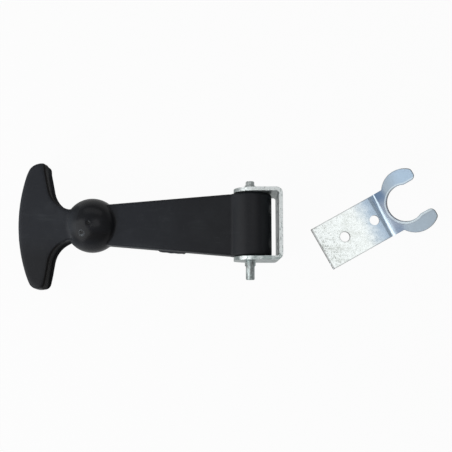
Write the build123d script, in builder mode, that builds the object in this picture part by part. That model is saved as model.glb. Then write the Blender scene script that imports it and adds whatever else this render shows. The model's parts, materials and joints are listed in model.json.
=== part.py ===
from build123d import *
import os
from math import cos, radians, sin

# Rubber T-handle draw latch with the fork keeper that its ball hooks behind.
# Millimetres. The origin is the centre of the bracket's mounting face, +X is the way that
# face looks, +Y lies along the hinge pin, and +Z points up from the bench on which the
# latch and its keeper lie. The strap runs from the pin towards -X.

# ---- driving dimensions -------------------------------------------------------------

# Folded sheet bracket
bracket_sheet = 2.0
bracket_width = 28.8
bracket_bend_radius = 1.2
pin_to_base = 14.4
pin_to_ear_end = 8.7
ear_corner_radius = 11.0
base_hole_diameter = 5.5
base_hole_spacing = 19.0

# Wire hinge pin, staked outside both ears
pin_diameter = 4.6
pin_short_end = 4.9
pin_long_end = 9.9
pin_end_chamfer = 0.35
stake_gap = 0.5
stake_length = 2.2
stake_depth = 0.9
stake_wing = 0.5
stake_corner_radius = 0.45

# Rubber moulding: eye and strap
eye_diameter = 22.8
eye_length = 32.8
eye_edge_chamfer = 0.6
strap_thickness = 12.7
eye_shoulder = 0.3
strap_width_at_ball = 20.0
strap_edge_radius = 1.3
strap_root_radius = 1.5

# Rubber moulding: ball and T handle
ball_diameter = 28.8
pin_to_ball = 83.4
neck_blend_radius = 0.8
neck_width = 16.6
neck_root_radius = 13.0
handle_reach = 37.8
handle_span = 66.8
handle_thickness = 17.5
handle_back_radius = 85.0
handle_root_depth = 18.7
handle_tip_width = 7.4
handle_tip_radius = 3.5
handle_back_corner_radius = 5.5
handle_edge_radius = 1.5
handle_draft = 3.0
finger_groove_depth = 1.7
finger_groove_margin = 0.95

# Stamped keeper
keeper_sheet = 2.0
keeper_width = 24.9
keeper_bend_radius = 3.0
keeper_rise = 30.0
keeper_hole_diameter = 5.5
keeper_first_hole = 14.3
keeper_hole_spacing = 18.7
keeper_hole_to_bend = 0.7
fork_throat_radius = 10.0
fork_throat_distance = 14.0
fork_mouth_width = 17.9
fork_shoulder = 6.5
fork_width = 35.3
fork_horn_length = 11.7
fork_tip_radius = 2.7
fork_corner_radius = 1.0

# How the keeper lies beside the latch: its near upper corner and its heading
keeper_corner_x = 17.2
keeper_corner_y = -0.7
keeper_heading = 29.1

# Clearances
eye_side_clearance = 0.35
eye_running_clearance = 0.05
ear_hole_clearance = 0.12

# ---- sizes worked out from them -----------------------------------------------------

pin_radius = pin_diameter / 2
ear_inner = eye_length / 2 + eye_side_clearance
ear_outer = ear_inner + bracket_sheet
pin_x = -(pin_to_base + bracket_sheet)
ear_end_x = pin_x - pin_to_ear_end
ball_x = pin_x - pin_to_ball
bench_z = -bracket_width / 2


def corners_at(sketch, x, y):
    """The pair of a symmetric sketch's corners that lie at (x, y) and (x, -y)."""
    return [sketch.vertices().sort_by_distance((x, side * y))[0] for side in (1, -1)]


os.makedirs("parts", exist_ok=True)

# ---- bracket: one strip of sheet folded into a U ---------------------------------------

with BuildPart() as bracket:
    # The U is drawn in plan on the strip's middle line and given the sheet's thickness.
    middle_radius = bracket_bend_radius + bracket_sheet / 2
    base_middle_x = -bracket_sheet / 2
    ear_middle_y = ear_inner + bracket_sheet / 2
    with BuildSketch() as u_section:
        with BuildLine() as u_line:
            FilletPolyline(
                (ear_end_x, ear_middle_y),
                (base_middle_x, ear_middle_y),
                (base_middle_x, -ear_middle_y),
                (ear_end_x, -ear_middle_y),
                radius=middle_radius,
            )
        trace(line_width=bracket_sheet)
    extrude(amount=bracket_width / 2, both=True)
    # The ears' free ends have well rounded corners.
    ear_end_corners = bracket.edges().filter_by(Axis.Y).group_by(Axis.X)[0]
    fillet(ear_end_corners, radius=min(ear_corner_radius, bracket_width / 2 - pin_radius))
    # One pin hole straight through both ears.
    with BuildSketch(Plane.XZ) as pin_hole_section:
        with Locations((pin_x, 0)):
            Circle(pin_radius + ear_hole_clearance)
    extrude(amount=ear_outer, both=True, mode=Mode.SUBTRACT)
    # Two fixing holes in the base.
    with BuildSketch(Plane.YZ) as base_hole_section:
        with GridLocations(base_hole_spacing, 0, 2, 1):
            Circle(base_hole_diameter / 2)
    extrude(amount=-bracket_sheet, mode=Mode.SUBTRACT)

bracket.part.label = "bracket"
export_step(bracket.part, "parts/bracket.step")

# ---- hinge pin: plain wire, pinched outside each ear so that it can't slide out -----------

short_end_y = ear_outer + pin_short_end
long_end_y = -(ear_outer + pin_long_end)
stake_middle = ear_outer + stake_gap + stake_length / 2

with BuildPart() as hinge_pin:
    with BuildSketch(Plane.XZ.offset(-short_end_y)) as wire_section:
        with Locations((pin_x, 0)):
            Circle(pin_radius)
    extrude(amount=short_end_y - long_end_y)
    chamfer(hinge_pin.edges().filter_by(GeomType.CIRCLE), length=pin_end_chamfer)
    # Each stake spreads the wire sideways into two small wings, wider than the ear's hole.
    with BuildSketch() as wing_section:
        with Locations((pin_x, stake_middle), (pin_x, -stake_middle)):
            RectangleRounded(pin_diameter + 2 * stake_wing, stake_length, stake_corner_radius)
    extrude(amount=pin_radius - stake_depth, both=True)
    # The jaws leave a V notch in the wire's top and bottom.
    notch_bottom = pin_radius - stake_depth
    with BuildSketch(Plane.YZ.offset(pin_x)) as notch_section:
        with Locations((stake_middle, 0), (-stake_middle, 0)):
            with BuildLine():
                Polyline(
                    (0, notch_bottom),
                    (stake_length, pin_radius + stake_depth),
                    (-stake_length, pin_radius + stake_depth),
                    close=True,
                )
            make_face()
        mirror(about=Plane.XZ)
    extrude(amount=pin_radius + stake_wing, both=True, mode=Mode.SUBTRACT)

hinge_pin.part.label = "hinge_pin"
export_step(hinge_pin.part, "parts/hinge_pin.step")

# ---- rubber moulding: T handle, neck, ball, strap and eye in one piece --------------------

eye_front_x = pin_x - eye_diameter / 2
strap_width_at_eye = eye_length - 2 * eye_shoulder
strap_end_y = strap_width_at_eye / 2
strap_ball_y = strap_width_at_ball / 2
handle_back_x = ball_x - handle_reach
back_centre_x = handle_back_x + handle_back_radius
handle_root_x = handle_back_x + handle_root_depth
tip_y = handle_span / 2
back_sag = handle_back_radius - (handle_back_radius**2 - tip_y**2) ** 0.5
back_corner_x = handle_back_x + back_sag
tip_inner_x = back_corner_x + handle_tip_width
neck_y = neck_width / 2
groove_half = handle_thickness / 2 - handle_edge_radius - finger_groove_margin
front_line = [(tip_inner_x, tip_y), (handle_root_x, neck_y), (ball_x, neck_y)]

# The mould parts at mid height: the handle's upper half has draft, and the lower mirrors it.
with BuildPart() as handle_upper:
    # In plan: a slice of a large disc, with straight arms that run into the neck.
    with BuildSketch() as handle_plan:
        with Locations((back_centre_x, 0)):
            Circle(handle_back_radius)
        with BuildSketch(mode=Mode.INTERSECT) as handle_front:
            with BuildLine():
                Polyline(
                    *front_line,
                    (ball_x, -neck_y),
                    (handle_root_x, -neck_y),
                    (tip_inner_x, -tip_y),
                    (handle_back_x, -tip_y),
                    (handle_back_x, tip_y),
                    close=True,
                )
            make_face()
        fillet(corners_at(handle_plan, back_corner_x, tip_y), radius=handle_back_corner_radius)
        fillet(corners_at(handle_plan, tip_inner_x, tip_y), radius=handle_tip_radius)
        fillet(corners_at(handle_plan, handle_root_x, neck_y), radius=neck_root_radius)
    extrude(amount=handle_thickness / 2)
    draft(handle_upper.faces().filter_by(Plane.XY, reverse=True), Plane.XY, handle_draft)
    fillet(handle_upper.faces().sort_by(Axis.Z)[-1].edges(), radius=handle_edge_radius)

with BuildPart() as t_handle_strap:
    # The strap: a flat band with rounded edges that widens from the ball to the eye.
    with BuildSketch() as strap_plan:
        with BuildLine():
            Polyline(
                (pin_x, -strap_end_y),
                (eye_front_x, -strap_end_y),
                (ball_x, -strap_ball_y),
                (ball_x, strap_ball_y),
                (eye_front_x, strap_end_y),
                (pin_x, strap_end_y),
                close=True,
            )
        make_face()
    extrude(amount=strap_thickness / 2, both=True)
    strap_rims = t_handle_strap.edges().filter_by(Axis.Y, reverse=True).filter_by(Axis.Z, reverse=True)
    fillet(strap_rims, radius=strap_edge_radius)
    # The eye: a round boss across the strap's end, turned about the pin's axis.
    with BuildSketch() as eye_profile:
        with Locations((pin_x + eye_diameter / 4, 0)):
            Rectangle(eye_diameter / 2, eye_length)
        chamfer(eye_profile.vertices().group_by(Axis.X)[-1], length=eye_edge_chamfer)
    revolve(axis=Axis((pin_x, 0, 0), (0, 1, 0)))
    # The handle's two halves, with the finger grooves in them.
    add(handle_upper.part)
    mirror(handle_upper.part, about=Plane.XY)
    # Finger grooves: a shallow cove along the front of each arm, running out on the neck.
    for side in (1, -1):
        tip, root, neck = [Vector(x, side * y) for x, y in front_line]
        groove_start = tip + (tip - root).normalized() * handle_tip_radius
        with BuildLine() as groove_path:
            FilletPolyline(groove_start, root, neck, radius=neck_root_radius)
        start_plane = Plane(groove_start, x_dir=(0, 0, side), z_dir=root - tip)
        with BuildSketch(start_plane) as groove_section:
            with BuildLine():
                ThreePointArc((groove_half, 0), (0, -finger_groove_depth), (-groove_half, 0))
                Polyline(
                    (-groove_half, 0),
                    (-groove_half, finger_groove_depth),
                    (groove_half, finger_groove_depth),
                    (groove_half, 0),
                )
            make_face()
        sweep(path=groove_path.line, mode=Mode.SUBTRACT)
    # The ball that the keeper's fork holds.
    with Locations((ball_x, 0, 0)):
        Sphere(ball_diameter / 2, rotation=(0, 90, 0))
    # The strap's faces run into the ball and the eye, and the neck into the ball, on fillets.
    ball_rims = t_handle_strap.faces().filter_by(GeomType.SPHERE).edges()
    strap_roots = ball_rims.filter_by_position(Axis.X, ball_x, pin_x)
    eye_roots = t_handle_strap.edges().filter_by(Axis.Y)
    fillet(strap_roots + eye_roots, radius=strap_root_radius)
    ball_rims = t_handle_strap.faces().filter_by(GeomType.SPHERE).edges()
    neck_rims = ball_rims.filter_by_position(Axis.X, handle_back_x, ball_x)
    fillet(neck_rims, radius=neck_blend_radius)
    # The bore for the pin.
    with BuildSketch(Plane.XZ) as eye_bore_section:
        with Locations((pin_x, 0)):
            Circle(pin_radius + eye_running_clearance)
    extrude(amount=eye_length / 2, both=True, mode=Mode.SUBTRACT)

t_handle_strap.part.label = "t_handle_strap"
export_step(t_handle_strap.part, "parts/t_handle_strap.step")

# ---- keeper: a flat foot, one bend and a raised fork, all from one blank -------------------

last_hole_x = keeper_first_hole + keeper_hole_spacing
keeper_foot_length = last_hole_x + keeper_hole_diameter / 2 + keeper_hole_to_bend
# The keeper has its own plane: x along the foot towards the fork, y across it, on the bench.
heading_x = Vector(cos(radians(keeper_heading)), sin(radians(keeper_heading)))
heading_y = Vector(-heading_x.Y, heading_x.X)
keeper_corner = Vector(keeper_corner_x, keeper_corner_y, bench_z)
keeper_origin = keeper_corner - heading_y * (keeper_width / 2)
keeper_plane = Plane(keeper_origin, x_dir=heading_x, z_dir=(0, 0, 1))
rise = radians(keeper_rise)
bend_centre = (keeper_foot_length, 0, keeper_sheet + keeper_bend_radius)
bend_axis_placed = Axis(keeper_plane.from_local_coords(Vector(*bend_centre)), heading_y)
outer_bend_radius = keeper_bend_radius + keeper_sheet
fork_start = Location(
    (
        keeper_foot_length + outer_bend_radius * sin(rise),
        0,
        outer_bend_radius * (1 - cos(rise)),
    ),
    (0, -keeper_rise, 0),
)
fork_plane = Plane(keeper_plane.location * fork_start)

with BuildPart() as keeper:
    with BuildSketch(keeper_plane) as foot_plan:
        with Locations((keeper_foot_length / 2, 0)):
            Rectangle(keeper_foot_length, keeper_width)
        with Locations((keeper_first_hole, 0), (last_hole_x, 0)):
            Circle(keeper_hole_diameter / 2, mode=Mode.SUBTRACT)
    extrude(amount=keeper_sheet)
    # The bend turns the sheet's section about an axis above the foot.
    bend_plane = Plane(
        keeper_plane.from_local_coords(Vector(keeper_foot_length, 0, keeper_sheet / 2)),
        x_dir=heading_y,
        z_dir=heading_x,
    )
    with BuildSketch(bend_plane) as bend_section:
        Rectangle(keeper_width, keeper_sheet)
    revolve(axis=bend_axis_placed, revolution_arc=-keeper_rise)
    # The fork in its own sloping plane: two horns round an open throat.
    mouth_x = fork_throat_distance + fork_horn_length
    shoulder_y = keeper_width / 2
    with BuildSketch(fork_plane) as fork_plan:
        with BuildLine():
            shoulder = (fork_shoulder, shoulder_y)
            horn_widest = (fork_throat_distance, fork_width / 2)
            horn_end = (mouth_x, fork_mouth_width / 2 + 2 * fork_tip_radius)
            Polyline((0, 0), (0, shoulder_y), shoulder)
            ThreePointArc(shoulder, horn_widest, horn_end)
            Polyline(horn_end, (mouth_x, 0), (0, 0))
        make_face()
        mirror(about=Plane.XZ)
        with Locations((fork_throat_distance, 0)):
            Circle(fork_throat_radius, mode=Mode.SUBTRACT)
        with Locations((mouth_x, 0)):
            Rectangle(2 * fork_horn_length, fork_mouth_width, mode=Mode.SUBTRACT)
        fillet(fork_plan.vertices().group_by(Axis.X)[-1], radius=fork_tip_radius)
        fillet(corners_at(fork_plan, fork_shoulder, shoulder_y), radius=fork_corner_radius)
    extrude(amount=keeper_sheet)

keeper.part.label = "keeper"
export_step(keeper.part, "parts/keeper.step")
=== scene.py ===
"""Rubber T-handle draw latch with its keeper: dressed pieces, finishes and a plain studio."""

import json
from math import cos, radians, sin
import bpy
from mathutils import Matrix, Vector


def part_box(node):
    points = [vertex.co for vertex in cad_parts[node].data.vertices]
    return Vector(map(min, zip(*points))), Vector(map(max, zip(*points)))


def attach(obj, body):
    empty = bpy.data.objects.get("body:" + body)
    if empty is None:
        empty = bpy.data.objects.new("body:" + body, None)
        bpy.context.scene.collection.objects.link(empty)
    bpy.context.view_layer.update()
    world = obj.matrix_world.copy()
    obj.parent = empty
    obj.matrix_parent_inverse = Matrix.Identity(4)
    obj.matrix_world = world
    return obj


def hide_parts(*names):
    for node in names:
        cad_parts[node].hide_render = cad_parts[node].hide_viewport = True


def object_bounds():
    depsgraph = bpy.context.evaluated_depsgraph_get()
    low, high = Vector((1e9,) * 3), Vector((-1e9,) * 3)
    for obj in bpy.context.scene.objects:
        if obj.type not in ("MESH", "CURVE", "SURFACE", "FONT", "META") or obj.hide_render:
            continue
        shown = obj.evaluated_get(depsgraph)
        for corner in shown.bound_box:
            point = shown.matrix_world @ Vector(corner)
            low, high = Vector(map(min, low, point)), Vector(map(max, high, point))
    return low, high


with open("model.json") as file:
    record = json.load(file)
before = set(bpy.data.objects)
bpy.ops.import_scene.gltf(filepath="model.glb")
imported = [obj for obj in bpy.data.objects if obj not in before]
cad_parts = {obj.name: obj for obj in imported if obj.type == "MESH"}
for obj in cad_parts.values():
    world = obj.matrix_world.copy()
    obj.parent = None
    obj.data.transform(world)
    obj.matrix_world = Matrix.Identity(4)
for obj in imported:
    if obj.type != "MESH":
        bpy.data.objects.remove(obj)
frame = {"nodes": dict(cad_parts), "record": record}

from types import SimpleNamespace

import bmesh
import bpy
import numpy as np
from bpy.props import FloatProperty, FloatVectorProperty, IntProperty, PointerProperty
from bpy.types import Operator, Panel, PropertyGroup
from mathutils import Matrix, Vector

bl_info = {
    "name": "Rubber T-handle draw latch",
    "version": (1, 0, 0),
    "blender": (4, 5, 0),
    "location": "3D View > Sidebar > Draw Latch",
    "description": "Builds the dressed pieces of a rubber draw latch and a plain studio round them",
    "category": "Object",
}

MM = 0.001
CAD_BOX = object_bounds()
BENCH = CAD_BOX[0].z
PIN = Vector(frame["record"]["behaviour"]["joints"][0]["pos_m"])
MOUNTS = {mount["name"]: Vector(mount["pos_m"]) for mount in frame["record"]["mounts"]}

# Directions from the ball's centre to the marks of the mould's gate and vent.
GATE_DIRECTION = Vector((0, 0, 1))
VENT_DIRECTION = Vector((-0.245, -0.335, 0.91)).normalized()

# Points nearer than this are one point, and faces flatter than this are one face.
WELD_DISTANCE = 0.002 * MM
FLAT_ANGLE = radians(0.4)

# Edges sharper than these are bevelled, and shaded as sharp.
BEVEL_ANGLE = radians(40)
SHARP_ANGLE = radians(32)

# Each lamp's place from the latch's centre, and its width and height, in metres.
LAMPS = {
    "key": ((-0.42, -0.18, 0.34), (0.8, 0.7)),
    "top": ((0.26, 0.09, 0.75), (0.42, 0.4)),
    "strip": ((-0.04, -0.05, 0.75), (0.14, 0.05)),
    "fill": ((0.0, 0.5, 0.28), (0.7, 0.25)),
    "small": ((-0.44, -0.36, 0.36), (0.05, 0.05)),
}

# Distance from the floor's middle to its sides in metres, and the camera's sensor in millimetres.
FLOOR_REACH = 3.0
SENSOR_WIDTH = 36


# ---- user settings ---------------------------------------------------------------------


class RubberSettings(PropertyGroup):
    """Sizes and colours of the black rubber moulding."""

    voxel: FloatProperty(
        name="Mesh size",
        description="Cell size of the moulding's mesh",
        default=0.45 * MM,
        min=0.2 * MM,
        precision=5,
        unit="LENGTH",
    )
    soften: IntProperty(
        name="Softening",
        description="Passes that round the moulding's creases",
        default=4,
        min=0,
        max=20,
    )
    pin_to_ball: FloatProperty(
        name="Pin to ball",
        description="Distance from the hinge pin to the ball's centre",
        default=83.4 * MM,
        unit="LENGTH",
    )
    ball_radius: FloatProperty(
        name="Ball radius",
        description="Radius of the ball that the keeper holds",
        default=(CAD_BOX[1].z - CAD_BOX[0].z) / 2,
        unit="LENGTH",
    )
    bore_radius: FloatProperty(
        name="Bore radius",
        description="Radius of the eye's bore, a little larger than the pin",
        default=2.5 * MM,
        precision=5,
        unit="LENGTH",
    )
    handle_twist: FloatProperty(
        name="Handle set",
        description="Angle by which the T handle has taken a set about the ball",
        default=radians(1.4),
        subtype="ANGLE",
    )
    tip_lean: FloatProperty(
        name="Tip lean",
        description="How far the handle's left tip leans towards the ball",
        default=1.8 * MM,
        precision=5,
        unit="LENGTH",
    )
    tip_rounding: IntProperty(
        name="Tip rounding",
        description="Passes that round the ends of the handle and fill the crease at the ball",
        default=36,
        min=0,
        max=60,
    )
    flash_height: FloatProperty(
        name="Flash height",
        description="How far the torn flash stands out from the strap's side",
        default=0.9 * MM,
        unit="LENGTH",
    )
    flash_start: FloatProperty(
        name="Flash start",
        description="Distance from the pin at which the torn flash begins",
        default=34.0 * MM,
        unit="LENGTH",
    )
    flash_length: FloatProperty(
        name="Flash length",
        description="Length of the torn flash along the strap's side",
        default=15.0 * MM,
        unit="LENGTH",
    )
    gate_radius: FloatProperty(
        name="Gate mark",
        description="Radius of the dimples that the mould's gate and vent left on the ball",
        default=1.1 * MM,
        unit="LENGTH",
    )
    gate_depth: FloatProperty(
        name="Gate depth",
        description="Depth of those two dimples",
        default=0.35 * MM,
        unit="LENGTH",
    )
    colour: FloatVectorProperty(
        name="Rubber",
        description="Main colour of the rubber",
        subtype="COLOR",
        size=3,
        min=0,
        max=1,
        default=(0.0212, 0.0234, 0.0288),
    )
    # Also the colour of the painted light and painted highlights on the groove walls, the handle's
    # back edge and tips and the strap's side.
    bloom: FloatVectorProperty(
        name="Bloom",
        description="Colour of the pale bloom and scuffs on the rubber",
        subtype="COLOR",
        size=3,
        min=0,
        max=1,
        default=(0.062, 0.068, 0.076),
    )
    # Also the colour of the painted shade in the finger grooves, along the strap's edge and towards
    # the eye.
    grime_and_shade: FloatVectorProperty(
        name="Grime",
        description="Colour of the finger grooves and of the mould's marks",
        subtype="COLOR",
        size=3,
        min=0,
        max=1,
        default=(0.008, 0.0075, 0.0075),
    )
    roughness: FloatProperty(
        name="Roughness",
        description="Roughness of clean rubber",
        default=0.42,
        min=0,
        max=1,
    )


class ZincSettings(PropertyGroup):
    """Sizes and colours of the three zinc-plated pieces."""

    edge: FloatProperty(
        name="Edge rounding",
        description="Width of the small round on the sheared edges",
        default=0.22 * MM,
        precision=5,
        unit="LENGTH",
    )
    keeper_heading: FloatProperty(
        name="Keeper heading",
        description="Direction in which the keeper's foot points on the bench",
        default=radians(29.1),
        subtype="ANGLE",
    )
    keeper_hole_reach: FloatProperty(
        name="Keeper end to holes",
        description="Distance from the keeper's square end to the middle of its holes",
        default=23.65 * MM,
        unit="LENGTH",
    )
    keeper_hole_spacing: FloatProperty(
        name="Keeper hole spacing",
        description="Distance between the keeper's two holes",
        default=18.7 * MM,
        unit="LENGTH",
    )
    keeper_width: FloatProperty(
        name="Keeper width",
        description="Width of the keeper's foot",
        default=24.9 * MM,
        unit="LENGTH",
    )
    keeper_bend_reach: FloatProperty(
        name="Keeper end to bend",
        description="Distance from the keeper's square end to its bend",
        default=36.45 * MM,
        unit="LENGTH",
    )
    keeper_rise: FloatProperty(
        name="Keeper rise",
        description="Angle at which the keeper's fork rises from its foot",
        default=radians(30),
        subtype="ANGLE",
    )
    keeper_bend_radius: FloatProperty(
        name="Keeper bend radius",
        description="Inner radius of the keeper's bend",
        default=3 * MM,
        unit="LENGTH",
    )
    throat_reach: FloatProperty(
        name="Bend to throat",
        description="Distance from the keeper's bend to the middle of its throat",
        default=14 * MM,
        unit="LENGTH",
    )
    throat_radius: FloatProperty(
        name="Throat radius",
        description="Radius of the keeper's round throat",
        default=10 * MM,
        unit="LENGTH",
    )
    mouth_width: FloatProperty(
        name="Mouth width",
        description="Width of the gap between the keeper's horns",
        default=17.9 * MM,
        unit="LENGTH",
    )
    horn_arc: FloatVectorProperty(
        name="Horn arc",
        description="Centre of the horns' outer arc: along from the bend, across from the middle",
        size=2,
        subtype="XYZ",
        default=(16.88 * MM, 5.48 * MM),
    )
    horn_arc_radius: FloatProperty(
        name="Horn arc radius",
        description="Radius of the horns' outer arc",
        default=12.5 * MM,
        unit="LENGTH",
    )
    bright: FloatVectorProperty(
        name="Bright zinc",
        description="Colour of bright plating",
        subtype="COLOR",
        size=3,
        min=0,
        max=1,
        default=(0.755, 0.795, 0.79),
    )
    dull: FloatVectorProperty(
        name="Dull zinc",
        description="Colour of the dull cells and speckles in the plating",
        subtype="COLOR",
        size=3,
        min=0,
        max=1,
        default=(0.45, 0.48, 0.44),
    )
    grey: FloatVectorProperty(
        name="Grey zinc",
        description="Colour of the bracket's and the pin's greyer plating",
        subtype="COLOR",
        size=3,
        min=0,
        max=1,
        default=(0.33, 0.39, 0.38),
    )
    # Also the colour of the painted highlight on the keeper's throat lip.
    pale: FloatVectorProperty(
        name="Pale zinc",
        description="Colour of the paler patches on the bracket",
        subtype="COLOR",
        size=3,
        min=0,
        max=1,
        default=(0.56, 0.605, 0.60),
    )
    # Also the colour of the painted shade on the keeper's edges.
    sheared: FloatVectorProperty(
        name="Sheared steel",
        description="Colour of the sheared edges",
        subtype="COLOR",
        size=3,
        min=0,
        max=1,
        default=(0.16, 0.16, 0.16),
    )
    # Painted reflection: the blue that deepens towards the keeper's bend; it also tints the paler
    # parts of the horns.
    blue: FloatVectorProperty(
        name="Blue tint",
        description="Colour of the passivation tint at the keeper's bend",
        subtype="COLOR",
        size=3,
        min=0,
        max=1,
        default=(0.31, 0.405, 0.51),
    )
    # Painted reflection: the web's darker colour just past the keeper's bend.
    violet: FloatVectorProperty(
        name="Violet tint",
        description="Colour of the deeper tint just past the keeper's bend",
        subtype="COLOR",
        size=3,
        min=0,
        max=1,
        default=(0.20, 0.234, 0.29),
    )
    # Painted dark reflection and shade: the band over the keeper's heel and fold and the dark ends
    # of its web.
    deep: FloatVectorProperty(
        name="Deep tint",
        description="Colour of the darkest tint, at the two ends of the keeper's bend",
        subtype="COLOR",
        size=3,
        min=0,
        max=1,
        default=(0.10, 0.145, 0.215),
    )
    # Painted highlight: the colour of the bright line along the keeper's bend.
    bend_highlight: FloatVectorProperty(
        name="Gleam",
        description="Colour of the polished line along the keeper's bend",
        subtype="COLOR",
        size=3,
        min=0,
        max=1,
        default=(0.80, 0.92, 1.0),
    )
    horn: FloatVectorProperty(
        name="Horn grey",
        description="Colour of the keeper's grey-blue horns",
        subtype="COLOR",
        size=3,
        min=0,
        max=1,
        default=(0.235, 0.272, 0.305),
    )


class StudioSettings(PropertyGroup):
    """Floor, lamps and camera."""

    floor: FloatVectorProperty(
        name="Floor",
        description="Colour of the floor",
        subtype="COLOR",
        size=3,
        min=0,
        max=1,
        default=(0.55, 0.55, 0.55),
    )
    shadow: FloatProperty(
        name="Shadow",
        description="How much of the floor's shadow is seen",
        default=0.04,
        min=0,
        max=1,
    )
    mirrored: FloatProperty(
        name="Mirrored floor",
        description="How much of the floor's white is mirrored in gloss and metal",
        default=0.42,
        min=0,
        max=1,
    )
    seen_room: FloatProperty(
        name="Seen room",
        description="How much brighter the room looks to the camera than it lights the latch",
        default=0.9,
        min=0,
        max=1,
    )
    mirrored_room: FloatProperty(
        name="Mirrored room",
        description="How much brighter the room looks in gloss and metal than it lights the latch",
        default=0.25,
        min=0,
        max=1,
    )
    camera_height: FloatProperty(
        name="Camera height",
        description="Height of the camera above the latch's middle plane",
        default=0.3975,
        unit="LENGTH",
    )
    camera_offset: FloatVectorProperty(
        name="Camera offset",
        description="Camera's place in plan from the mounting face's centre",
        size=2,
        subtype="XYZ",
        default=(-0.02864, -0.0441),
    )
    aim: FloatVectorProperty(
        name="Aim",
        description="Point in the latch's middle plane at which the camera looks",
        size=2,
        subtype="XYZ",
        default=(-0.02917, -0.00011),
    )
    lens: FloatProperty(
        name="Lens",
        description="Focal length on a 36 mm sensor",
        default=60.1,
        unit="CAMERA",
    )
    world_light: FloatProperty(
        name="World light",
        description="Strength of the even light from all sides",
        default=0.05,
        min=0,
    )
    key_power: FloatProperty(
        name="Key lamp",
        description="Power of the soft key lamp",
        default=2.85,
        unit="POWER",
    )
    small_tint: FloatVectorProperty(
        name="Small lamp tint",
        description="Colour of the small lamp",
        subtype="COLOR",
        size=3,
        min=0,
        max=1,
        default=(0.78, 0.9, 1.0),
    )
    small_power: FloatProperty(
        name="Small lamp",
        description="Power of the small lamp that puts a spark on the ball",
        default=0.62,
        unit="POWER",
    )
    strip_power: FloatProperty(
        name="Strip lamp",
        description="Power of the narrow lamp that draws a bright line along the keeper's bend",
        default=0.14,
        unit="POWER",
    )
    fill_power: FloatProperty(
        name="Fill lamp",
        description="Power of the weak lamp on the far side",
        default=0.35,
        unit="POWER",
    )
    top_power: FloatProperty(
        name="Top lamp",
        description="Power of the broad lamp overhead",
        default=0.6,
        unit="POWER",
    )


# ---- shader expressions ------------------------------------------------------------------


class Signal:
    """An output socket; arithmetic on it adds Math nodes, so a mask reads as an expression."""

    def __init__(self, recipe, socket):
        self.recipe = recipe
        self.socket = socket

    def math(self, operation, *values):
        """Adds a Math node that works on the given signals and numbers."""
        return self.recipe.node("ShaderNodeMath", dict(enumerate(values)), operation=operation)

    def __add__(self, other):
        return self.math("ADD", self, other)

    def __sub__(self, other):
        return self.math("SUBTRACT", self, other)

    def __rsub__(self, other):
        return self.math("SUBTRACT", other, self)

    def __mul__(self, other):
        return self.math("MULTIPLY", self, other)

    __radd__ = __add__
    __rmul__ = __mul__

    def __abs__(self):
        return self.math("ABSOLUTE", self)


class Recipe:
    """The nodes of a material or a world under construction, on its first shader."""

    def __init__(self, owner, shader):
        owner.use_nodes = True
        self.tree = owner.node_tree
        self.shader = self.tree.nodes[shader]

    def node(self, kind, values, output=0, **settings):
        """Adds a node: its settings first, then its sockets' values or links."""
        made = self.tree.nodes.new(kind)
        for name, setting in settings.items():
            setattr(made, name, setting)
        for name, value in values.items():
            self.feed(made.inputs[name], value)
        return Signal(self, made.outputs[output])

    def feed(self, socket, value):
        """Links a signal to a socket, or sets a constant on it."""
        if isinstance(value, Signal):
            self.tree.links.new(value.socket, socket)
        elif socket.type == "RGBA":
            socket.default_value = (*value[:3], 1)
        else:
            socket.default_value = value

    def set(self, **sockets):
        """Feeds the shader; underscores stand for spaces."""
        for name, value in sockets.items():
            self.feed(self.shader.inputs[name.replace("_", " ")], value)

    def ray(self, kind):
        """1 for rays of one kind, such as Is Camera Ray, and 0 for all others."""
        return self.node("ShaderNodeLightPath", {}, kind)


class Finish(Recipe):
    """A material under construction, with the surface's place and facing at hand."""

    def __init__(self, name):
        self.material = bpy.data.materials.new(name)
        super().__init__(self.material, "Principled BSDF")
        self.place = self.node("ShaderNodeTexCoord", {}, "Object")
        self.facing = self.node("ShaderNodeTexCoord", {}, "Normal")

    def axes(self, vector):
        """The three components of a vector."""
        split = self.node("ShaderNodeSeparateXYZ", {0: vector}).socket.node
        return [Signal(self, output) for output in split.outputs]

    def noise(self, size, detail=2.0, roughness=0.5, vector=None):
        """Noise whose lumps are about the given size in metres."""
        inputs = {
            "Vector": vector or self.place,
            "Scale": 1 / size,
            "Detail": detail,
            "Roughness": roughness,
        }
        return self.node("ShaderNodeTexNoise", inputs)

    def streaks(self, scale, turn=0.0, detail=3, roughness=0.6):
        """Noise with its own number of lumps in a metre along each axis, turned about Z."""
        inputs = {"Vector": self.place, "Rotation": (0, 0, turn), "Scale": scale}
        return self.noise(1, detail, roughness, self.node("ShaderNodeMapping", inputs))

    def rise(self, value, start, end):
        """0 before start, 1 after end, smooth between them; start may be above end."""
        inputs = {"Value": value, "From Min": start, "From Max": end}
        return self.node("ShaderNodeMapRange", inputs, interpolation_type="SMOOTHSTEP")

    def mix(self, mask, first, second):
        """The first colour where the mask is 0 and the second where it is 1."""
        return self.node("ShaderNodeMix", {0: mask, 6: first, 7: second}, 2, data_type="RGBA")

    def coats(self, colour, *coats):
        """A colour under coats of others, each given as its mask and its colour."""
        for mask, coat in coats:
            colour = self.mix(mask, colour, coat)
        return colour

    def bump(self, height, distance, strength=1.0, normal=None):
        """A bump of the given depth in metres, on top of an earlier one if given."""
        inputs = {"Height": height, "Distance": distance, "Strength": strength}
        if normal:
            inputs["Normal"] = normal
        return self.node("ShaderNodeBump", inputs)

    def span(self, first, second):
        """Length of the diagonal between two distances at right angles."""
        return first.math("SQRT", first * first + second * second)

    def distance(self, point):
        """Distance in metres from a point."""
        inputs = {0: self.place, 1: point}
        return self.node("ShaderNodeVectorMath", inputs, "Value", operation="DISTANCE")


# ---- finishes ------------------------------------------------------------------------------


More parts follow.
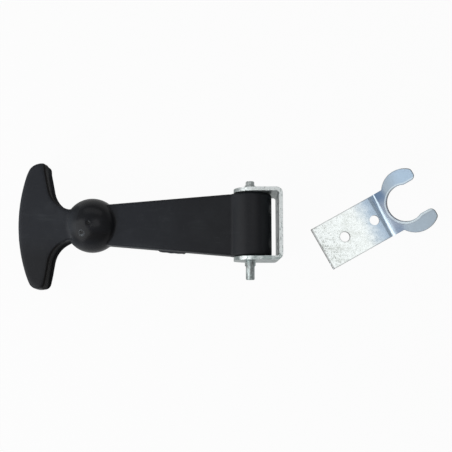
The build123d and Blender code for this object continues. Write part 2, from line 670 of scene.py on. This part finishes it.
def rubber_zones(finish, rubber, ball):
    """The moulding's regions, each a mask that is 1 inside the region and 0 outside."""
    x, y, z = finish.axes(finish.place)
    to_pin, to_left, to_top = finish.axes(finish.facing)
    past_ball = x - ball.x
    off_centre = finish.distance(ball)
    radius = rubber.ball_radius
    on_ball = finish.rise(off_centre, radius + 0.9 * MM, radius + 0.2 * MM)
    grip = finish.rise(to_pin, 0.30, 0.65) * finish.rise(past_ball, -8 * MM, -11 * MM)
    tip_round = finish.rise(to_top, 0.15, 0.5) * finish.rise(to_top, 0.97, 0.8)
    return SimpleNamespace(
        # The ball's mask fades out on its left side, so that side keeps the handle's paler colour
        # as painted light.
        ball=on_ball * finish.rise(past_ball, -13 * MM, -4 * MM),
        grip=grip,
        crease=grip * finish.rise(z, -0.5 * MM, 5 * MM),
        sole=grip * finish.rise(z, -2.5 * MM, -5.5 * MM),
        right_arm=finish.rise(to_left, 0.0, 0.15),
        left_arm=finish.rise(to_left, 0.0, -0.15),
        right_top=finish.rise(past_ball, -10 * MM, -16 * MM) * finish.rise(y, -4 * MM, -20 * MM),
        back_edge=finish.rise(to_top, 0.97, 0.7) * finish.rise(to_pin, -0.1, -0.5),
        tips=finish.rise(abs(y), 30.5 * MM, 32.5 * MM) * tip_round,
        strap_side=finish.rise(to_left, -0.55, -0.9) * finish.rise(past_ball, 8 * MM, 14 * MM),
        strap_edge=finish.rise(abs(to_left + 0.45), 0.25, 0.05) * finish.rise(to_top, 0.1, 0.4),
        eye_end=finish.rise(x, ball.x + 12 * MM, PIN.x - 12 * MM),
        parting=finish.rise(abs(z), 0.30 * MM, 0.05 * MM),
    )


def mould_marks(finish, rubber, ball):
    """Masks for the ring of the mould's gate and the pit of its vent, on the ball."""
    off_gate = finish.distance(ball + rubber.ball_radius * GATE_DIRECTION)
    off_vent = finish.distance(ball + rubber.ball_radius * VENT_DIRECTION)
    ring = finish.rise(abs(off_gate - rubber.gate_radius * 0.7), rubber.gate_radius * 0.4, 0)
    pit = finish.rise(off_vent, 0.9 * MM, 0.3 * MM)
    return ring, pit


def rubber_finish(rubber):
    """Black moulded rubber: fine grain, cloudy bloom, faint scuffs and the mould's own marks, with
    painted light and painted shade on its walls, edges and grooves.
    """
    finish = Finish("moulded_rubber")
    ball = PIN - Vector((rubber.pin_to_ball, 0, 0))
    zone = rubber_zones(finish, rubber, ball)
    ring, pit = mould_marks(finish, rubber, ball)
    cloud = finish.noise(16 * MM, 4, 0.6)
    grain = finish.noise(0.5 * MM, 3)
    dust = finish.noise(1.1 * MM, 1)
    smear = finish.streaks((60, 320, 120), radians(8))
    scratch = finish.streaks((90, 1500, 400), radians(-12), 2, 0.5)

    # Pale wear and painted light: bloom, scuffs and flecks all over; painted light on the lower
    # part of the groove walls and on the left arm's groove wall; painted highlights on the handle's
    # back edge, its tips and the strap's right side.
    bloom = finish.rise(cloud, 0.42, 0.75) * 0.22 + finish.rise(smear, 0.56, 0.8) * 0.25
    scuff = finish.rise(scratch, 0.66, 0.74) * finish.rise(cloud, 0.5, 0.62)
    flecks = finish.rise(dust, 0.70, 0.76)
    wear_and_light = (bloom + scuff * 0.5 + flecks * 0.25) * (1 - zone.ball * 0.7)
    # Painted light: paler lower groove walls, less so on the right arm, and a paler groove wall on
    # the left arm.
    wear_and_light = wear_and_light + zone.sole * (0.9 - zone.right_arm * 0.5) + zone.grip * zone.left_arm * 0.45
    # Painted highlights on the handle's back edge, its two tips and the strap's right side.
    wear_and_light = wear_and_light + zone.back_edge * 0.35 + zone.tips * 0.7 + zone.strap_side * 0.3

    # Darker colour: painted shade in the finger grooves, deeper on the right arm's groove wall; the
    # mould's marks; the ball's cleaner rubber; darker over the handle's right arm; a painted dark
    # line along the strap's right edge and painted shade growing towards the eye.
    # Painted shade in the finger grooves, deeper on the right arm's wall, and the mould's marks.
    grime_and_shade = zone.crease * 0.7 + zone.grip * (zone.right_arm * 0.2 + 0.3) + ring * 0.6 + pit * 0.5
    # The ball's cleaner, darker rubber, and darker over the handle's right arm.
    grime_and_shade = grime_and_shade + zone.ball * 0.5 + zone.right_top * 0.55
    # Painted shade: a dark line along the strap's right edge, and growing towards the eye.
    grime_and_shade = grime_and_shade + zone.strap_edge * 0.3 + zone.eye_end * 0.5

    matt = wear_and_light * 0.25 + cloud * 0.08 + zone.grip * 0.2 - zone.ball * 0.18
    finish.set(
        Base_Color=finish.coats(rubber.colour, (wear_and_light, rubber.bloom), (grime_and_shade, rubber.grime_and_shade)),
        Roughness=matt + (rubber.roughness - 0.04),
        Specular_IOR_Level=0.18,
    )
    fine = finish.bump(grain, 0.02 * MM, 0.5)
    fine = finish.bump(1 - ring, 0.2 * MM, 0.8, fine)
    finish.set(Normal=finish.bump(zone.parting + smear * 0.3, 0.12 * MM, 0.8, fine))
    return finish.material


def zinc_cells(finish, size):
    """A mottled plating: large dull cells and fine speckles as noise, and pores as a mask."""
    cells = finish.noise(size, 4, 0.65)
    speckle = finish.noise(size * 0.22, 3, 0.6)
    pores = finish.rise(finish.noise(0.45 * MM, 1), 0.62, 0.74)
    return cells, speckle, pores


def bracket_finish(zinc):
    """Grey zinc plating on the folded strip, brighter and rougher on its sheared edges."""
    finish = Finish("bracket_plating")
    x, y = finish.axes(finish.place)[:2]
    to_top = finish.axes(finish.facing)[2]
    cells, speckle, pores = zinc_cells(finish, 3.2 * MM)
    patches = finish.rise(cells * 0.6 + speckle * 0.4, 0.38, 0.62)
    plate = finish.mix(patches, zinc.grey, zinc.pale)

    # The sheared edges: torn by the shear, and combed along the right ear.
    sheared = finish.rise(abs(to_top), 0.5, 0.8)
    torn = finish.rise(finish.streaks((900, 500, 120)), 0.52, 0.62)
    left_side = finish.rise(y, 0, 5 * MM)
    right_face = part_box("bracket")[0].y
    right_ear = finish.rise(y, right_face + 3 * MM, right_face + 1.5 * MM)
    right_ear = right_ear * finish.rise(x, PIN.x - 2 * MM, PIN.x + 3 * MM)
    combed = finish.rise(finish.streaks((160, 1500, 500)), 0.40, 0.58) * right_ear
    greyed = torn * (0.8 - left_side * 0.4)
    edge = finish.coats(zinc.bright, (greyed, zinc.grey), (combed, zinc.grey))

    finish.set(
        Base_Color=finish.coats(plate, (sheared, edge), (pores * 0.6, zinc.sheared)),
        Metallic=0.9,
        Roughness=speckle * 0.25 + sheared * 0.1 + 0.22,
    )
    fine = finish.bump(speckle, 0.05 * MM, 0.5)
    finish.set(Normal=finish.bump(torn * sheared + pores, 0.1 * MM, 0.6, fine))
    return finish.material


def pin_finish(zinc):
    """Plated wire, drawn along its length and scraped bright where it was staked."""
    finish = Finish("pin_plating")
    y = finish.axes(finish.place)[1]
    cells, speckle, pores = zinc_cells(finish, 2.0 * MM)
    drawn = finish.streaks((1500, 120, 1500))
    hatched = finish.streaks((650, 260, 650), radians(40), 2, 0.5)
    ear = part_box("bracket")[1].y
    past_ear = abs(y) - ear
    staked = finish.rise(past_ear, 0, 0.8 * MM) * finish.rise(past_ear, 3.4 * MM, 2.6 * MM)
    short_end = finish.rise(y, ear, ear + 0.5 * MM)
    scraped = finish.rise(drawn, 0.45, 0.6)
    patches = finish.rise(cells * 0.5 + speckle * 0.5, 0.50, 0.58)
    nicks = finish.rise(hatched, 0.53, 0.60)
    finish.set(
        Base_Color=finish.coats(
            zinc.grey,
            (scraped * 0.6 + short_end * 0.4 + 0.15, zinc.bright),
            (patches * (0.7 - short_end * 0.4), zinc.grey),
            (nicks * (0.6 - short_end * 0.5), zinc.sheared),
            (pores * 0.6 + staked * speckle * 0.5, zinc.sheared),
        ),
        Metallic=0.75,
        Roughness=speckle * 0.25 + 0.34,
        Normal=finish.bump(drawn * 0.6 + speckle * 0.4, 0.05 * MM, 0.6),
    )
    return finish.material


def keeper_axes(finish, zinc):
    """Distances along the keeper from its square end, and across it from its middle line."""
    turn = Matrix.Rotation(-zinc.keeper_heading, 3, "Z")
    square_end = turn @ MOUNTS["keeper_screws"] - Vector((zinc.keeper_hole_reach, 0, 0))
    inputs = {
        "Vector": finish.place,
        "Rotation": (0, 0, -zinc.keeper_heading),
        "Location": (-square_end.x, -square_end.y, 0),
    }
    return finish.axes(finish.node("ShaderNodeMapping", inputs))[:2]


def foot_edge_shade(finish, zinc, along, across):
    """Painted shade on the foot's sheared sides and end, widened onto the top face along the square
    end and the long sides, and a dark ring round its first hole.
    """
    bend = zinc.keeper_bend_reach
    half = zinc.keeper_width / 2
    to_top = finish.axes(finish.facing)[2]
    foot = finish.rise(along, bend - 0.5 * MM, bend - 1.5 * MM)
    # Painted shade on the side faces, and a band of it along the square end and the long sides.
    sheared = finish.rise(abs(to_top), 0.72, 0.55) * foot
    end_shade = finish.rise(along, 1.1 * MM, 0.4 * MM)
    side_shade = finish.rise(abs(across), half - 0.65 * MM, half - 0.2 * MM) * foot
    heading = Vector((cos(zinc.keeper_heading), sin(zinc.keeper_heading), 0))
    first_hole = MOUNTS["keeper_screws"] - heading * (zinc.keeper_hole_spacing / 2)
    drilled = finish.rise(finish.distance(first_hole), 3.5 * MM, 2.9 * MM)
    return sheared * 0.85 + end_shade * 0.6 + side_shade * 0.55 + drilled * 0.6


def fork_edges(finish, zinc, past_bend, across):
    """In the fork's own plane: distance out from the bend, and depth in the metal from two edges.

    The edges are the throat's and the horns' outer arc; both depths are 0 on the edge itself.
    """
    fork_start = zinc.keeper_bend_radius * sin(zinc.keeper_rise)
    out = (past_bend - fork_start) * (1 / cos(zinc.keeper_rise))
    side = abs(across)
    throat = finish.span(out - zinc.throat_reach, across) - zinc.throat_radius
    before_mouth = finish.rise(out, zinc.throat_reach + MM, zinc.throat_reach) * zinc.mouth_width
    throat = throat.math("MINIMUM", throat, side - zinc.mouth_width / 2 + before_mouth)
    centre = zinc.horn_arc
    outer = zinc.horn_arc_radius - finish.span(out - centre[0], side - centre[1])
    return out, throat, outer


def keeper_finish(zinc):
    """Bright mottled plating on the foot, painted reflections, highlights and shade at the bend and
    along the fork's edges, and grey-blue horns.
    """
    finish = Finish("keeper_plating")
    along, across = keeper_axes(finish, zinc)
    past_bend = along - zinc.keeper_bend_reach
    cells, speckle, pores = zinc_cells(finish, 3.6 * MM)
    grains = finish.noise(0.7 * MM, 2, 0.6)

    # The foot: mottled all over, and spotted towards its square end.
    stained = finish.rise(along + cells * (30 * MM), 36 * MM, 12 * MM)
    mottle = finish.rise(cells * 0.5 + grains * 0.5, 0.40, 0.66)
    spots = finish.rise(cells * 0.45 + speckle * 0.55, 0.50, 0.60) * (stained * 0.75 + 0.1)

    # The bend: painted reflection, a blue that deepens up to the fold; a painted dark band over the
    # heel and the fold; past it the web's painted dark reflection, with painted shade at its two
    # ends.
    tint = finish.rise(past_bend + cells * (9 * MM), -9 * MM, 3 * MM)
    spread = across * (2 / zinc.keeper_width)
    heel = finish.rise(past_bend + spread * spread * (2.2 * MM), -2.5 * MM, 0.8 * MM)
    fold = finish.rise(past_bend, 0.4 * MM, 1.2 * MM)
    bent = finish.rise(abs(past_bend - 1 * MM), 2.2 * MM, 1.2 * MM)
    web = finish.rise(past_bend, 1.6 * MM, 2.6 * MM)
    ends = finish.rise(across, 4 * MM, 10 * MM) + finish.rise(across, -7 * MM, -11 * MM) * 0.35

    # Painted highlight along the bend, a little out of square, with a painted glow at its right
    # end.
    skew = across * 0.045
    off_line = abs(past_bend - 2.1 * MM - skew)
    bend_highlight = finish.rise(off_line, 1.0 * MM - skew, 0.1 * MM)
    halo = finish.rise(off_line, 2.6 * MM, 0.6 * MM) * finish.rise(across, 3 * MM, -8 * MM) * web

    # The fork: horns that pale towards the left tip, a painted highlight on the lip round the
    # throat, and painted shade along the edges of the throat and the horns.
    out, throat, outer = fork_edges(finish, zinc, past_bend, across)
    horn = finish.rise(out, 5 * MM, 9 * MM)
    left = finish.rise(across, -4 * MM, 6 * MM)
    pale = finish.rise(out, 8 * MM, 20 * MM) * left * 0.6 + cells * 0.15
    # Painted highlight on the lip round the throat.
    off_lip = abs(throat - 0.7 * MM - left * (0.1 * MM))
    lip = finish.rise(off_lip, 0.75 * MM - left * (0.35 * MM), 0.1 * MM) * web
    # Painted shade along the throat's edge, a line inside it on the right, and along the horns'
    # outer arc.
    rim_shade = finish.rise(throat, 0.55 * MM, 0.2 * MM) * web * (left * 0.75 + 0.2)
    off_groove = abs(throat - 1.6 * MM)
    rim_shade = rim_shade + finish.rise(off_groove, 0.35 * MM, 0.05 * MM) * web * (1 - left) * 0.4
    rim_shade = rim_shade + finish.rise(outer, 0.55 * MM, 0.15 * MM) * horn

    plate = finish.coats(
        zinc.bright,
        (mottle * 0.42 + spots * 0.7, zinc.dull),
        # Painted reflection and shade at the bend: the blue, the dark band, the web and its two
        # dark ends.
        (tint * 0.9, zinc.blue),
        (heel * 0.2 + fold * 0.45, zinc.deep),
        (web, zinc.violet),
        (ends * web, zinc.deep),
        (horn, finish.mix(pale, zinc.horn, zinc.blue)),
        # Painted highlight along the bend and its glow.
        (bend_highlight + halo * 0.3, zinc.bend_highlight),
        # Painted highlight on the throat's lip.
        (lip * 0.5, zinc.pale),
        # Painted shade on the foot's edges and along the fork's edges, in the sheared steel colour.
        (foot_edge_shade(finish, zinc, along, across) + rim_shade * 0.6, zinc.sheared),
        (pores * 0.2, zinc.sheared),
    )
    finish.set(
        Base_Color=plate,
        Metallic=0.92,
        Roughness=speckle * 0.12 + spots * 0.2 + web * 0.22 + bent * 0.3 + 0.16,
    )
    fine = finish.bump(speckle, 0.02 * MM, 0.5)
    finish.set(Normal=finish.bump(pores + spots, 0.02 * MM, 0.5, fine))
    return finish.material


def floor_finish(studio):
    """A pale floor that camera and glossy rays see as plain white, with a little of its shadow."""
    finish = Finish("pale_floor")
    finish.set(Base_Color=studio.floor, Roughness=0.9, Specular_IOR_Level=0.1)
    plain = finish.node("ShaderNodeEmission", {"Color": (1, 1, 1), "Strength": 1.0})
    seen = finish.ray("Is Camera Ray") * (1 - studio.shadow)
    share = seen + finish.ray("Is Glossy Ray") * studio.mirrored
    lit = Signal(finish, finish.shader.outputs[0])
    mixed = finish.node("ShaderNodeMixShader", {0: share, 1: lit, 2: plain})
    finish.feed(finish.tree.nodes["Material Output"].inputs["Surface"], mixed)
    return finish.material


# ---- mesh work ---------------------------------------------------------------------------


def smooth_step(value, start, end):
    """0 before start, 1 after end, smooth between them."""
    t = np.clip((value - start) / (end - start), 0, 1)
    return t * t * (3 - 2 * t)


def copy_of(node, name):
    """A new object with a welded copy of a CAD node's mesh."""
    mesh = frame["nodes"][node].data.copy()
    mesh.materials.clear()
    solid = bmesh.new()
    solid.from_mesh(mesh)
    bmesh.ops.remove_doubles(solid, verts=solid.verts, dist=WELD_DISTANCE)
    solid.to_mesh(mesh)
    solid.free()
    piece = bpy.data.objects.new(name, mesh)
    bpy.context.collection.objects.link(piece)
    return piece


def freeze(piece):
    """Applies a piece's modifiers to its mesh."""
    seen = piece.evaluated_get(bpy.context.evaluated_depsgraph_get())
    mesh = bpy.data.meshes.new_from_object(seen)
    piece.modifiers.clear()
    piece.data = mesh
    return mesh


def vectors_of(mesh, kind):
    """A mesh's points ("co") or their normals ("normal"), as rows of three numbers."""
    vectors = np.empty(len(mesh.vertices) * 3)
    mesh.vertices.foreach_get(kind, vectors)
    return vectors.reshape(-1, 3)


def dress(piece, node, body, material):
    """Gives a finished piece its material and its place in the frame."""
    piece.data.materials.clear()
    piece.data.materials.append(material)
    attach(piece, body)
    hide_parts(node)


def set_handle(points, rubber, ball):
    """Turns the T handle a little about the ball, fading out across the ball."""
    reach = rubber.ball_radius
    share = smooth_step(ball.x - points[:, 0], -reach * 0.3, reach * 0.9)
    angle = share * rubber.handle_twist
    away = points - np.array(ball)
    points[:, 0] = ball.x + away[:, 0] * np.cos(angle) - away[:, 1] * np.sin(angle)
    points[:, 1] = ball.y + away[:, 0] * np.sin(angle) + away[:, 1] * np.cos(angle)


def skin_over(piece, rubber):
    """Gives the moulding one even skin, with its creases softened."""
    remesh = piece.modifiers.new("skin", "REMESH")
    remesh.mode = "VOXEL"
    remesh.voxel_size = rubber.voxel * 1
    smooth = piece.modifiers.new("soften", "SMOOTH")
    smooth.factor = 0.5
    smooth.iterations = rubber.soften
    mesh = freeze(piece)
    if not mesh.vertices:
        raise RuntimeError("the rubber moulding's mesh came out empty")


def round_tips(piece, rubber, ball):
    """Rounds the two ends of the T handle, and fills the crease where its neck meets the ball."""
    points = vectors_of(piece.data, "co")
    out = np.abs(points[:, 1])
    tip = smooth_step(out, out.max() - 8 * MM, out.max() - 3 * MM)
    off_ball = np.abs(np.linalg.norm(points - np.array(ball), axis=1) - rubber.ball_radius)
    neck = smooth_step(4 * MM - off_ball, 0, 2 * MM)
    neck *= smooth_step(ball.x - points[:, 0], 5 * MM, 8 * MM)
    neck *= smooth_step(np.abs(points[:, 2]), 3 * MM, 6 * MM)
    # A vertex group takes one weight at a time, so the share goes up in steps of a tenth.
    share = np.round(np.maximum(tip, neck), 1)
    rounded = piece.vertex_groups.new(name="rounded")
    for weight in np.unique(share[share > 0]):
        rounded.add(np.nonzero(share == weight)[0].tolist(), float(weight), "REPLACE")
    smooth = piece.modifiers.new("round", "SMOOTH")
    smooth.factor = 0.5
    smooth.iterations = rubber.tip_rounding
    smooth.vertex_group = rounded.name
    mesh = freeze(piece)
    piece.vertex_groups.clear()
    return mesh


def lean_tip(points, rubber):
    """Leans the handle's left tip towards the ball."""
    length = 7 * MM
    share = np.clip((points[:, 1] - points[:, 1].max()) / length + 1, 0, 1)
    points[:, 0] += rubber.tip_lean * share**3


def clear_bore(points, rubber):
    """Moves the eye's bore out to its radius, so that it turns freely on the pin."""
    wall = 0.3 * MM  # how far outside the radius a point still belongs to the bore
    away = points[:, [0, 2]] - np.array((PIN.x, PIN.z))
    reach = np.maximum(np.hypot(*away.T), 0.1 * MM)
    grow = np.where(reach < rubber.bore_radius + wall, rubber.bore_radius / reach, 1)
    points[:, 0] = PIN.x + away[:, 0] * np.maximum(grow, 1)
    points[:, 2] = PIN.z + away[:, 1] * np.maximum(grow, 1)


def raise_flash(points, normals, rubber):
    """A torn lip of flash along the right side of the strap, a little below its middle."""
    start = PIN.x - rubber.flash_start
    end = start - rubber.flash_length
    fade = 1.2 * MM
    drop = 3 * MM
    half_height = 3.2 * MM
    x = points[:, 0]
    z = points[:, 2]
    along = smooth_step(start - x, 0, fade) * smooth_step(x - end, 0, fade)
    level = smooth_step(half_height - abs(z + drop), 0, 2 * MM)
    side = smooth_step(-normals[:, 1], 0.5, 0.9)
    # Two waves along the strap that never fall into step make the lip ragged.
    ragged = 0.85 + 0.15 * np.sin(x / MM * 1.1) * np.sin(x / MM * 0.47 + 1)
    points[:, 1] -= rubber.flash_height * along * level * side * ragged


def press_mark(points, ball, direction, rubber):
    """A shallow dimple in the ball, left by the mould's gate or vent."""
    away = points - np.array(ball)
    reach = np.maximum(np.linalg.norm(away, axis=1), MM)
    centre = rubber.ball_radius * np.array(direction)
    near = rubber.gate_radius * 1.2 - np.linalg.norm(away - centre, axis=1)
    depth = rubber.gate_depth * smooth_step(near, 0, rubber.gate_radius)
    points -= away * (depth / reach)[:, None]


def round_sheared_edges(piece, width):
    """Rounds the sharp edges of a sheet or wire piece a little."""
    solid = bmesh.new()
    solid.from_mesh(piece.data)
    bmesh.ops.dissolve_limit(
        solid, angle_limit=FLAT_ANGLE, verts=solid.verts, edges=solid.edges
    )
    solid.to_mesh(piece.data)
    solid.free()
    bevel = piece.modifiers.new("edge", "BEVEL")
    bevel.width = width
    bevel.segments = 2
    bevel.limit_method = "ANGLE"
    bevel.angle_limit = BEVEL_ANGLE
    bevel.harden_normals = True
    piece.data.shade_smooth()
    piece.data.set_sharp_from_angle(angle=SHARP_ANGLE)
    freeze(piece)


# ---- operators: one for each piece ---------------------------------------------------------


class LATCH_OT_rubber_strap(Operator):
    """Make the black rubber moulding: T handle, ball, strap and eye"""

    bl_idname = "latch.rubber_strap"
    bl_label = "Rubber Strap"

    def execute(self, context):
        rubber = context.scene.latch_rubber
        ball = PIN - Vector((rubber.pin_to_ball, 0, 0))
        piece = copy_of("t_handle_strap", "rubber_t_strap")
        skin_over(piece, rubber)
        mesh = round_tips(piece, rubber, ball)
        points = vectors_of(mesh, "co")
        normals = vectors_of(mesh, "normal")
        clear_bore(points, rubber)
        raise_flash(points, normals, rubber)
        for direction in (GATE_DIRECTION, VENT_DIRECTION):
            press_mark(points, ball, direction, rubber)
        lean_tip(points, rubber)
        set_handle(points, rubber, ball)
        mesh.vertices.foreach_set("co", points.ravel())
        mesh.update()
        mesh.shade_smooth()
        dress(piece, "t_handle_strap", "strap", rubber_finish(rubber))
        return {"FINISHED"}


class LATCH_OT_bracket(Operator):
    """Make the folded bracket that carries the hinge pin"""

    bl_idname = "latch.bracket"
    bl_label = "Bracket"

    def execute(self, context):
        zinc = context.scene.latch_zinc
        piece = copy_of("bracket", "bracket_strip")
        round_sheared_edges(piece, zinc.edge)
        dress(piece, "bracket", "bracket_set", bracket_finish(zinc))
        return {"FINISHED"}


class LATCH_OT_hinge_pin(Operator):
    """Make the staked hinge pin"""

    bl_idname = "latch.hinge_pin"
    bl_label = "Hinge Pin"

    def execute(self, context):
        zinc = context.scene.latch_zinc
        piece = copy_of("hinge_pin", "staked_pin")
        round_sheared_edges(piece, zinc.edge / 2)
        dress(piece, "hinge_pin", "bracket_set", pin_finish(zinc))
        return {"FINISHED"}


class LATCH_OT_keeper(Operator):
    """Make the bent fork keeper"""

    bl_idname = "latch.keeper"
    bl_label = "Keeper"

    def execute(self, context):
        zinc = context.scene.latch_zinc
        piece = copy_of("keeper", "keeper_plate")
        round_sheared_edges(piece, zinc.edge)
        dress(piece, "keeper", "bracket_set", keeper_finish(zinc))
        return {"FINISHED"}


class LATCH_OT_studio(Operator):
    """Set out the floor, the lamps, the even world light and the camera"""

    bl_idname = "latch.studio"
    bl_label = "Studio"

    def execute(self, context):
        studio = context.scene.latch_studio
        centre = (CAD_BOX[0] + CAD_BOX[1]) / 2
        self.lay_floor(studio, centre)
        lamps = {name: self.hang_lamp(name, studio, centre) for name in LAMPS}
        lamps["small"].color = studio.small_tint
        self.light_world(context.scene, studio)
        self.place_camera(context.scene, studio)
        return {"FINISHED"}

    def lay_floor(self, studio, centre):
        """Lays a square floor at the height of the bench."""
        mesh = bpy.data.meshes.new("floor")
        size = FLOOR_REACH
        corners = [(-size, -size, 0), (size, -size, 0), (size, size, 0), (-size, size, 0)]
        mesh.from_pydata(corners, [], [(0, 1, 2, 3)])
        floor = bpy.data.objects.new("floor", mesh)
        floor.location = (centre.x, centre.y, BENCH)
        bpy.context.collection.objects.link(floor)
        mesh.materials.append(floor_finish(studio))

    def hang_lamp(self, name, studio, centre):
        """Hangs a soft rectangular lamp that faces the latch's centre."""
        offset, size = LAMPS[name]
        lamp = bpy.data.lights.new(name + "_lamp", "AREA")
        lamp.shape = "RECTANGLE"
        lamp.size, lamp.size_y = size
        lamp.energy = getattr(studio, name + "_power")
        hung = bpy.data.objects.new(name + "_lamp", lamp)
        hung.location = centre + Vector(offset)
        hung.rotation_euler = (-Vector(offset)).to_track_quat("-Z", "Y").to_euler()
        bpy.context.collection.objects.link(hung)
        return lamp

    def light_world(self, scene, studio):
        """Lights the room evenly, plain white to the camera and dimmer in reflections."""
        scene.world = bpy.data.worlds.new("even_light")
        room = Recipe(scene.world, "Background")
        seen = room.ray("Is Camera Ray") * studio.seen_room
        mirrored = room.ray("Is Glossy Ray") * studio.mirrored_room
        room.set(Color=(1, 1, 1), Strength=seen + mirrored + studio.world_light)

    def place_camera(self, scene, studio):
        """Stands the camera over the bench, with +Y upwards in its view, and sets plain colours."""
        lens = bpy.data.cameras.new("camera")
        lens.sensor_width = SENSOR_WIDTH
        lens.lens = studio.lens
        lens.clip_start = 0.01
        camera = bpy.data.objects.new("camera", lens)
        camera.location = (*studio.camera_offset, studio.camera_height)
        back = (camera.location - Vector((*studio.aim, 0))).normalized()
        right = Vector((0, 1, 0)).cross(back).normalized()
        turned = Matrix((right, back.cross(right), back)).transposed()
        camera.rotation_euler = turned.to_euler()
        bpy.context.collection.objects.link(camera)
        scene.camera = camera
        scene.view_settings.view_transform = "Standard"


class LATCH_PT_panel(Panel):
    """Lists the latch's settings and operators in the sidebar"""

    bl_label = "Draw Latch"
    bl_idname = "LATCH_PT_panel"
    bl_space_type = "VIEW_3D"
    bl_region_type = "UI"
    bl_category = "Draw Latch"

    def draw(self, context):
        scene = context.scene
        for group in (scene.latch_rubber, scene.latch_zinc, scene.latch_studio):
            box = self.layout.box()
            for name in group.bl_rna.properties.keys():
                if name not in ("rna_type", "name"):
                    box.prop(group, name)
        for operator in PIECE_OPERATORS:
            self.layout.operator(operator.bl_idname)


PIECE_OPERATORS = (
    LATCH_OT_rubber_strap,
    LATCH_OT_bracket,
    LATCH_OT_hinge_pin,
    LATCH_OT_keeper,
    LATCH_OT_studio,
)
CLASSES = (RubberSettings, ZincSettings, StudioSettings, *PIECE_OPERATORS, LATCH_PT_panel)


def register():
    """Registers the classes and hangs the settings on the scene."""
    for cls in CLASSES:
        bpy.utils.register_class(cls)
    bpy.types.Scene.latch_rubber = PointerProperty(type=RubberSettings)
    bpy.types.Scene.latch_zinc = PointerProperty(type=ZincSettings)
    bpy.types.Scene.latch_studio = PointerProperty(type=StudioSettings)


def unregister():
    """Undoes register."""
    del bpy.types.Scene.latch_studio
    del bpy.types.Scene.latch_zinc
    del bpy.types.Scene.latch_rubber
    for cls in reversed(CLASSES):
        bpy.utils.unregister_class(cls)


def main():
    """Builds every piece and the studio."""
    register()
    bpy.ops.latch.rubber_strap()
    bpy.ops.latch.bracket()
    bpy.ops.latch.hinge_pin()
    bpy.ops.latch.keeper()
    bpy.ops.latch.studio()


if __name__ == "__main__":
    main()
